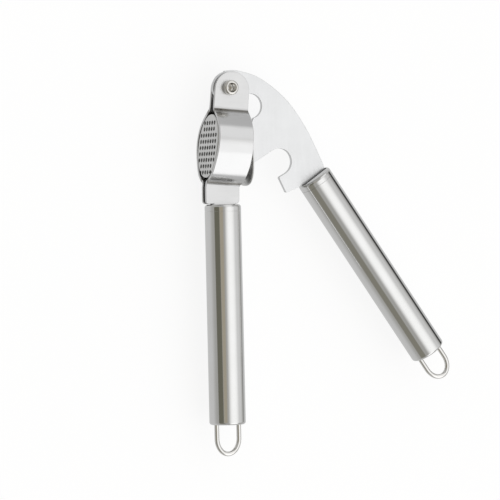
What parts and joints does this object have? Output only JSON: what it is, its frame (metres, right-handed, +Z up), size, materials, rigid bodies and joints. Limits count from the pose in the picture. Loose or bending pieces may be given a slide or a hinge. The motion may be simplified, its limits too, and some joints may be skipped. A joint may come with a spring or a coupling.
{
  "type": "garlic press",
  "caption": "Hand garlic press: perforated cup between two bent strips, swinging plate lever with a plunger, round tube handles with wire hang loops.",
  "frame": {"origin": "bottom centre of the whole press as it lies on its side on a worktop, lever part open", "axes": "+Y from the hang loops towards the pivot, +X from the basket towards the open lever, +Z up along the pivot axis"},
  "size_m": [0.1422, 0.2015, 0.0318],
  "materials": {
    "satin_steel": "fine satin sheet steel",
    "polished_steel": "polished stainless tube",
    "sieve_steel": "drawn stainless sheet",
    "wire_steel": "bright drawn wire"
  },
  "bodies": {
    "frame": {"front_frame": "satin_steel", "back_frame": "satin_steel", "pivot_rivet": "polished_steel", "sieve_basket": "sieve_steel", "lower_handle_tube": "polished_steel", "lower_handle_collar": "polished_steel", "lower_handle_end_cap": "polished_steel", "lower_handle_hang_loop": "wire_steel"},
    "lever": {"lever_plate": "satin_steel", "upper_handle_tube": "polished_steel", "upper_handle_collar": "polished_steel", "upper_handle_end_cap": "polished_steel", "upper_handle_hang_loop": "wire_steel", "plunger_pin": "polished_steel"},
    "plunger": {"plunger_plate": "satin_steel", "upper_plunger_lug": "satin_steel", "lower_plunger_lug": "satin_steel"}
  },
  "joints": [
    {"name": "lever_swing", "type": "hinge", "parent": "frame", "child": "lever", "pos_m": [-0.05775, 0.09141, 0.0159], "axis": [0, 0, 1], "range_deg": [-30, 60]},
    {"name": "plunger_tilt", "type": "hinge", "parent": "lever", "child": "plunger", "pos_m": [-0.04675, 0.06341, 0.0159], "axis": [0, 0, 1], "range_deg": [-30, 15]}
  ],
  "couplings": [
    {"joint": "plunger_tilt", "follows": "lever_swing", "ratio": -0.5}
  ]
}
